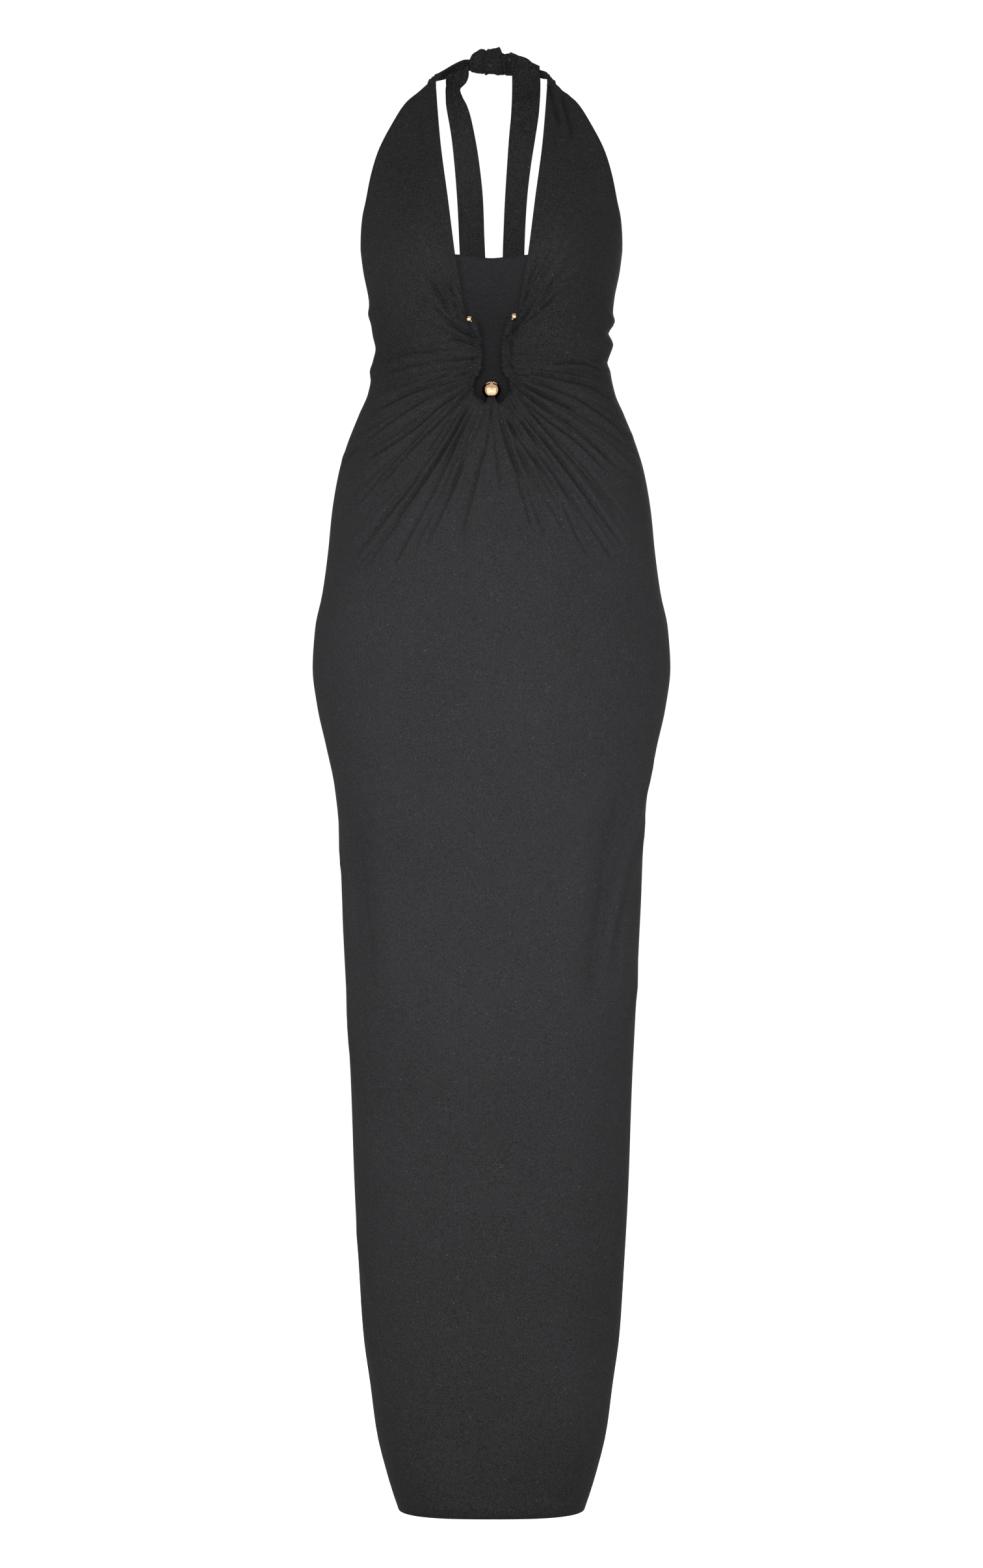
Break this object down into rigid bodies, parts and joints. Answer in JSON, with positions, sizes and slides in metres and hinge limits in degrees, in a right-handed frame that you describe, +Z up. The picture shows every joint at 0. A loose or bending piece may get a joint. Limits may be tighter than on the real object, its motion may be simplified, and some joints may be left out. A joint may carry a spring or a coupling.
{
  "type": "halterneck maxi dress",
  "caption": "Full-length jersey column dress with a halter neck, a deep plunge gathered onto a curved metal bar with balls, and a straight-edged low back.",
  "frame": {"origin": "at the nape, on the inner face of the knot, where the neck holds the dress up", "axes": "+X across to the wearer's left, +Y from front to back, +Z up"},
  "size_m": [0.363, 0.252, 1.4912],
  "materials": {
    "jersey": "matte black viscose jersey with a soft bloom",
    "tie_jersey": "matte black jersey, doubled and seamed on one edge",
    "gilt_metal": "polished, rose-gold coloured plating"
  },
  "bodies": {
    "root": {"front": "jersey", "back": "jersey", "casing": "jersey", "plunge_bar": "gilt_metal", "tie_right": "tie_jersey", "tie_left": "tie_jersey", "knot": "tie_jersey", "tail_right": "tie_jersey", "tail_left": "tie_jersey"}
  },
  "joints": []
}
